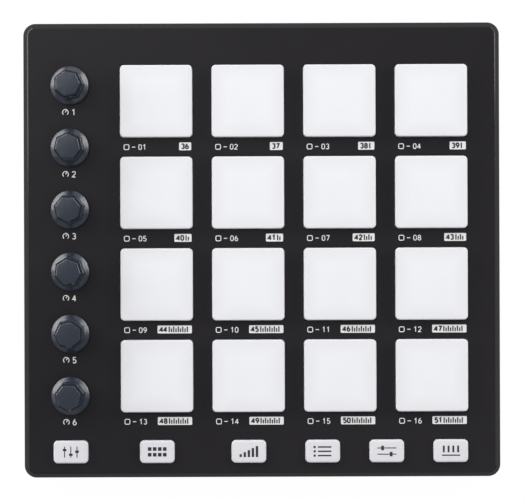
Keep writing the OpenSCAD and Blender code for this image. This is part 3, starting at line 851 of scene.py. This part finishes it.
# Pads
# Sixteen soft white silicone pads, moulded with a flange that stays under the face.
# The top is very slightly domed, with a soft edge, and is hollow over its light.
PAD_EDGE = 0.55 * MM
PAD_DOME = 0.2 * MM
PAD_WALL = 2.7 * MM
PAD_TOP_THICK = 3.5 * MM
PAD_FLANGE_THICK = 1.3 * MM
SEAT_GAP = 0.05 * MM
PAD_SHADED_BORDER = 7.0 * MM
DOME_ROWS = 8
DOME_REACH = 0.97
DOME_ROUNDING = 0.9
KEY_EDGE_ROWS = 7

seat_z = panel_z - SEAT_GAP


def domed_rows(half_w, half_d, corner, top_z, dome, edge, flat_from, centre):
    """The top of a soft key: outlines that draw in by d grow rounder, and rise to the middle.

    The half sizes are half - d, the corner is corner + rounding * d at most, and the height falls short
    of the top by dome * (1 - d / flat_from) squared, so the middle is level.
    """
    d = np.linspace(min(half_w, half_d) * DOME_REACH, edge, DOME_ROWS)
    short = np.clip(1 - d / flat_from, 0.0, 1.0) ** 2
    radius = np.minimum(corner + DOME_ROUNDING * d, np.minimum(half_w, half_d) - d)
    return round_rect_rows(half_w - d, half_d - d, radius, top_z - dome * short, centre)


def soft_key(shell, half_w, half_d, corner, top_z, dome, edge, flat_from, below, centre):
    """A domed top, a round edge and sides that follow the profile given below it."""
    shoulder = top_z - dome * max(0.0, 1 - edge / flat_from) ** 2
    turn = np.linspace(math.pi / 2, 0.0, KEY_EDGE_ROWS)[1:]
    edge_profile = np.stack([-edge + edge * np.cos(turn), shoulder - edge + edge * np.sin(turn)], axis=-1)
    sides = np.vstack([edge_profile, np.asarray(below, float)])
    rows = np.concatenate([
        domed_rows(half_w, half_d, corner, top_z, dome, edge, flat_from, centre),
        round_rect_sweep(half_w, half_d, corner, sides, centre),
    ])
    shell.grid(rows, True, True)


def store_inset(obj, half_w, half_d, centre):
    """Keep on every point how far it lies inside the key's outline in plan, by the shorter way."""
    points = np.empty(len(obj.data.vertices) * 3)
    obj.data.vertices.foreach_get("co", points)
    x, y, _ = points.reshape(-1, 3).T
    inset = np.minimum(half_w - np.abs(x - centre[0]), half_d - np.abs(y - centre[1]))
    layer = obj.data.attributes.new("inset", "FLOAT", "POINT")
    layer.data.foreach_set("value", inset.astype(np.float32))


pad_finish = Finish("pad_silicone", srgb(240, 241, 244), 0.7, specular_ior_level=0.3)
pad_cloud = pad_finish.noise(14 * MM, 2.0)
pad_fine = pad_finish.noise(0.3 * MM, 2.0)
pad_inset = pad_finish.add("ShaderNodeAttribute", {"attribute_name": "inset"}, output="Fac")
pad_middle = pad_finish.tint(pad_cloud * 0.8 + pad_fine * 0.2, srgb(236, 237, 241), srgb(241, 242, 246))
# Painted shade: each pad's colour turns a greyer white toward its edge, reaching the middle's colour 7 mm
# in from the outline.
pad_finish.set(Base_Color=pad_finish.tint(pad_inset * (1 / PAD_SHADED_BORDER), srgb(232, 232, 236), pad_middle))
pad_finish.set(Roughness=pad_fine * 0.14 + 0.63)
pad_finish.bump(pad_fine, 0.015 * MM, 0.3)

for number in PADS:
    low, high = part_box(f"pad_{number}")
    flange_z = seat_z - PAD_FLANGE_THICK
    hollow_z = high.z - PAD_TOP_THICK
    key = Shell()
    soft_key(key, pad_half, pad_half, PAD_CORNER, high.z, PAD_DOME, PAD_EDGE, pad_half, [
        (0.0, seat_z),
        (PAD_FLANGE, seat_z),
        (PAD_FLANGE, flange_z),
        (0.0, flange_z),
        (0.0, low.z),
        (-PAD_WALL, low.z),
        (-PAD_WALL, hollow_z),
    ], middle_of(f"pad_{number}"))
    pad_key = key.piece(
        f"pad_key_{number}", f"pad_{number}", pad_finish.material, [f"pad_{number}"])
    store_inset(pad_key, pad_half, pad_half, middle_of(f"pad_{number}"))

# Buttons
# Six small white silicone buttons along the front edge. Each has a flange under the face and
# a round stem that stands on its switch.
BUTTON_EDGE = 0.7 * MM
BUTTON_DOME = 0.12 * MM
BUTTON_FLAT_FROM = 1.6 * MM
BUTTON_FLANGE_THICK = 1.2 * MM
STEM_RADIUS = 2.5 * MM

button_finish = Finish("button_silicone", srgb(226, 226, 231), 0.7, specular_ior_level=0.3)
button_cloud = button_finish.noise(9 * MM, 2.0)
button_fine = button_finish.noise(0.3 * MM, 2.0)
button_finish.set(Base_Color=button_finish.tint(
    button_cloud * 0.8 + button_fine * 0.2, srgb(219, 219, 224), srgb(227, 227, 232)))
button_finish.set(Roughness=button_fine * 0.14 + 0.63)
button_finish.bump(button_fine, 0.015 * MM, 0.3)

for number in BUTTONS:
    low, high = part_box(f"button_{number}")
    flange_z = seat_z - BUTTON_FLANGE_THICK
    key = Shell()
    middle = middle_of(f"button_{number}")
    soft_key(
        key, button_half_w, button_half_d, BUTTON_CORNER, high.z, BUTTON_DOME, BUTTON_EDGE,
        BUTTON_FLAT_FROM, [(0.0, seat_z), (BUTTON_FLANGE, seat_z), (BUTTON_FLANGE, flange_z)], middle)
    key.grid(lathe([(STEM_RADIUS, low.z), (STEM_RADIUS, flange_z)], middle), True, True)
    key.piece(
        f"button_key_{number}", f"button_{number}", button_finish.material,
        [f"button_{number}"])

# Signs on the buttons
# Dark grey ink printed on the top of each button: a plain picture made of thin bars.


def sign_bars(number):
    """Bars of one button's sign, each as middle x, middle y, width and height in millimetres.

    They are faders, a field of pads, rising levels, a list, two sliders and a run of beats.
    """
    if number == 1:
        rails = [(x, 0.0, 0.4, 4.6) for x in (-2.6, 0.0, 2.6)]
        return rails + [(x, y, 1.5, 0.9) for x, y in ((-2.6, 0.9), (0.0, -1.1), (2.6, 0.2))]
    if number == 2:
        return [(x, y, 1.5, 1.5) for x in (-3.15, -1.05, 1.05, 3.15) for y in (-1.2, 1.2)]
    if number == 3:
        return [(1.7 * (k - 2), (1.2 + 0.85 * k - 4.6) / 2, 1.0, 1.2 + 0.85 * k) for k in range(5)]
    if number == 4:
        lines = [(0.8, y, 5.6, 0.6) for y in (-1.8, 0.0, 1.8)]
        return lines + [(-3.4, y, 0.9, 0.9) for y in (-1.8, 0.0, 1.8)]
    if number == 5:
        rails = [(0.0, y, 8.0, 0.4) for y in (-1.3, 1.3)]
        return rails + [(-1.8, 1.3, 1.1, 1.9), (1.8, -1.3, 1.1, 1.9)]
    beats = [(x, 0.8, 0.8, 2.8) for x in (-3.0, -1.0, 1.0, 3.0)]
    return beats + [(0.0, -1.8, 7.6, 0.5)]


for number in BUTTONS:
    x, y = middle_of(f"button_{number}")
    button_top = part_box(f"button_{number}")[1].z
    sign = Shell()
    for layer, (bar_x, bar_y, wide, tall) in enumerate(sign_bars(number)):
        level = button_top + layer * INK_LIFT
        mark(sign, (x + bar_x * MM, y + bar_y * MM), (wide * MM, tall * MM), level)
    sign.piece(f"button_sign_{number}", f"button_{number}", print_dark)

# Knobs
# Six slate-grey moulded knobs: a round skirt, a sloping shoulder and a steep grip with seven flats,
# which tapers between fine bevels to a slightly crowned top. They are pushed onto a flatted shaft
# and have no pointer, because they turn without end.
KNOB_TURN_DEG = [180, 270, 90, 275, 0, 90]
KNOB_FLATS = 7
FLAT_LOW = 6.1 * MM
FLAT_HIGH = 5.6 * MM
RIM_HEIGHT = 4.0 * MM
RIM_RUN_UP = 1.0 * MM
# How far in from the flats, and how far below the top
RIM_PROFILE_MM = [(0.14, 3.91), (1.0, 0.26), (1.19, 0.13), (1.7, 0.1)]
TOP_CROWN = 0.1 * MM
SKIRT_HEIGHT = 1.3 * MM
SHOULDER_HEIGHT = 1.7 * MM
SLOPE_START = 0.5 * MM
SKIRT_EDGE = 0.5 * MM
SKIRT_FOOT_EDGE = 0.2 * MM
GRIP_EDGE = 0.25 * MM
RIM_EDGE = 0.04 * MM
HOLLOW_RADIUS = 5.5 * MM
HOLLOW_HEIGHT = 2.2 * MM
HOLLOW_POLE = 0.4 * MM
TOP_POLE = 0.1
COLUMNS_PER_FLAT = 26
COLUMN_PACKING = 0.85
SLOPE_ROWS = 6
FLAT_ROWS = 7
TOP_ROWS = 8
HALVINGS = 40
KNOB_SMOOTH_DEG = 28.0

knob_low, knob_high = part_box("knob_1")
knob_height = knob_high.z - knob_low.z
knob_radius = (knob_high.x - knob_low.x) / 2


def grip_radius(angle, apothem, edge):
    """Distance from the axis to a polygon with rounded corners.

    Along a flat it is apothem / cos(angle from the flat's middle). Near a corner it is the far side of a
    circle of radius edge, whose centre stands (apothem - edge) / cos(half a side's angle) from the axis.
    """
    half = math.pi / KNOB_FLATS
    from_flat = (angle + half) % (2 * half) - half
    flat = apothem / np.cos(from_flat)
    centre = (apothem - edge) / math.cos(half)
    from_corner = half - np.abs(from_flat)
    inside = np.maximum(edge**2 - (centre * np.sin(from_corner)) ** 2, 0.0)
    corner = centre * np.cos(from_corner) + np.sqrt(inside)
    tangent = np.arctan2((apothem - edge) * math.tan(half), apothem)
    return np.where(np.abs(from_flat) > tangent, corner, flat)


def knob_rows():
    """The knob as a grid of angle and profile.

    From the hollow underneath the profile goes out to the skirt, up it, in along the sloping shoulder until
    that meets the flats, at a height found by halving, then up the flats, along the taper of the rim and
    over the crowned top. Columns crowd at the corners: t - packing * sin(2 pi t) / (2 pi) along each flat.
    """
    half = math.pi / KNOB_FLATS
    t = np.linspace(0.0, 1.0, COLUMNS_PER_FLAT, endpoint=False)
    packed = t - COLUMN_PACKING * np.sin(2 * math.pi * t) / (2 * math.pi)
    angle = ((packed * 2 - 1) * half + np.arange(KNOB_FLATS)[:, None] * 2 * half).ravel()

    def apothem(z):
        return FLAT_LOW + (FLAT_HIGH - FLAT_LOW) * z / knob_height

    def shoulder(z):
        return knob_radius - (z - SKIRT_HEIGHT) * (knob_radius - FLAT_HIGH) / SHOULDER_HEIGHT

    low = np.full_like(angle, SKIRT_HEIGHT)
    high = np.full_like(angle, SKIRT_HEIGHT + SHOULDER_HEIGHT)
    for _ in range(HALVINGS):
        middle = (low + high) / 2
        outside = shoulder(middle) > grip_radius(angle, apothem(middle), GRIP_EDGE)
        low = np.where(outside, middle, low)
        high = np.where(outside, high, middle)
    meet = (low + high) / 2
    skirt = eased([
        (HOLLOW_POLE, HOLLOW_HEIGHT),
        (HOLLOW_RADIUS, HOLLOW_HEIGHT),
        (HOLLOW_RADIUS, 0.0),
        (knob_radius, 0.0),
        (knob_radius, SKIRT_HEIGHT),
        (shoulder(SKIRT_HEIGHT + SLOPE_START), SKIRT_HEIGHT + SLOPE_START),
    ], [0, SKIRT_FOOT_EDGE, SKIRT_FOOT_EDGE, SKIRT_EDGE])
    radius = [np.repeat(skirt[:, :1], len(angle), axis=1)]
    height = [np.repeat(skirt[:, 1:], len(angle), axis=1)]
    share = np.linspace(0.0, 1.0, SLOPE_ROWS)[1:, None]
    slope_z = SKIRT_HEIGHT + SLOPE_START + share * (meet - SKIRT_HEIGHT - SLOPE_START)
    radius.append(shoulder(slope_z))
    height.append(slope_z)
    rim_z = knob_height - RIM_HEIGHT
    rim = eased([
        (apothem(rim_z - RIM_RUN_UP), rim_z - RIM_RUN_UP),
        (apothem(rim_z), rim_z),
        *[(apothem(rim_z) - inset * MM, knob_height - drop * MM) for inset, drop in RIM_PROFILE_MM],
    ], [RIM_EDGE] * len(RIM_PROFILE_MM), steps=4)
    share = np.linspace(0.0, 1.0, FLAT_ROWS)[1:-1, None]
    flat_z = meet + share * (rim[0, 1] - meet)
    radius.append(grip_radius(angle, apothem(flat_z), GRIP_EDGE))
    height.append(flat_z)
    radius.append(grip_radius(angle[None], rim[:, :1], GRIP_EDGE))
    height.append(np.repeat(rim[:, 1:], len(angle), axis=1))
    share = np.linspace(1.0, TOP_POLE, TOP_ROWS)[1:, None]
    radius.append(share * radius[-1][-1])
    height.append(np.repeat(knob_height - TOP_CROWN * share**2, len(angle), axis=1))
    return angle, np.vstack(radius), np.vstack(height)


knob_finish = Finish("knob_slate", srgb(54, 60, 70), 0.24, specular_ior_level=0.75)
knob_fine = knob_finish.noise(0.25 * MM, 3.0, 0.6)
knob_cloud = knob_finish.noise(8 * MM, 2.0)
knob_finish.set(Base_Color=knob_finish.tint(
    knob_cloud * 0.7 + knob_fine * 0.3, srgb(30, 37, 50), srgb(37, 45, 59)))
knob_finish.set(Roughness=knob_fine * 0.1 + 0.23)
knob_finish.bump(knob_fine, 0.012 * MM, 0.3)

knob_angle, knob_r, knob_z = knob_rows()
for number in KNOBS:
    x, y = middle_of(f"encoder_{number}")
    turned = knob_angle + math.radians(KNOB_TURN_DEG[number - 1])
    rows = np.stack([
        x + knob_r * np.cos(turned), y + knob_r * np.sin(turned), knob_low.z + knob_z], axis=-1)
    knob = Shell()
    knob.grid(rows, True, True)
    knob.piece(
        f"knob_cap_{number}", f"knob_{number}", knob_finish.material, [f"knob_{number}"],
        smooth_deg=KNOB_SMOOTH_DEG)

# Stage and light
# A white floor in a grey room. Two bright strips and four weak washes, all low, light the edges, and
# a soft lamp behind and one in front light the face. Each is placed by its direction from the object.
WHITE = (1.0, 1.0, 1.0, 1.0)
FLOOR_SIZE = 6.0
WORLD_LIGHT = 0.235
FLOOR_SHADOW = 0.05
FLOOR_GLOW = 1.02
LAMP_DISTANCE = 1.2
# Azimuth and height in degrees, width and height in metres, brightness
LAMPS = {
    "left_strip": (145, 18.5, 1.4, 0.26, 7.2),
    "left_wash": (170, 21, 1.5, 0.26, 1.4),
    "right_strip": (30, 21, 1.0, 0.26, 8.0),
    "right_wash": (12, 21, 1.1, 0.26, 1.4),
    "rear_wash": (82, 18, 1.0, 0.36, 1.1),
    "rear_softbox": (128, 58, 1.4, 0.87, 1.4),
    "front_wash": (254, 21, 1.4, 0.26, 0.36),
    "front_fill": (-60, 52, 1.0, 0.8, 1.3),
}

floor_mesh = bpy.data.meshes.new("floor")
corner = FLOOR_SIZE / 2
floor_corners = [(-corner, -corner, 0), (corner, -corner, 0), (corner, corner, 0), (-corner, corner, 0)]
floor_mesh.from_pydata(floor_corners, [], [(0, 1, 2, 3)])
floor = bpy.data.objects.new("floor", floor_mesh)
bpy.context.collection.objects.link(floor)
floor_finish = Finish("floor_white", srgb(250, 250, 250), 0.9)
camera_ray = floor_finish.add("ShaderNodeLightPath", output="Is Camera Ray")
glossy_ray = floor_finish.add("ShaderNodeLightPath", output="Is Glossy Ray")
clear_ray = floor_finish.add("ShaderNodeLightPath", output="Is Transmission Ray")
seen = camera_ray + glossy_ray + clear_ray
glow = floor_finish.add("ShaderNodeEmission", None, {"Color": WHITE, "Strength": FLOOR_GLOW})
matte = Value(floor_finish, floor_finish.shader.outputs[0])
blend = floor_finish.add("ShaderNodeMixShader", None, {0: seen * (1 - FLOOR_SHADOW), 1: matte, 2: glow})
output = floor_finish.tree.nodes["Material Output"]
floor_finish.feed(output.inputs["Surface"], blend)
floor_mesh.materials.append(floor_finish.material)

world = bpy.data.worlds.new("studio")
world.use_nodes = True
bpy.context.scene.world = world
sky = world.node_tree.nodes["Background"]
sky.inputs["Color"].default_value = WHITE
sky.inputs["Strength"].default_value = WORLD_LIGHT

for name, (azimuth, height, wide, tall, brightness) in LAMPS.items():
    light = bpy.data.lights.new(name, "AREA")
    light.shape = "RECTANGLE"
    light.size = wide
    light.size_y = tall
    light.energy = brightness * math.pi * wide * tall
    lamp = bpy.data.objects.new(name, light)
    around, up = math.radians(azimuth), math.radians(height)
    lamp.location = (
        LAMP_DISTANCE * math.cos(up) * math.cos(around),
        LAMP_DISTANCE * math.cos(up) * math.sin(around),
        LAMP_DISTANCE * math.sin(up),
    )
    lamp.rotation_euler = (math.pi / 2 - up, 0.0, around + math.pi / 2)
    lamp.visible_camera = False
    bpy.context.collection.objects.link(lamp)
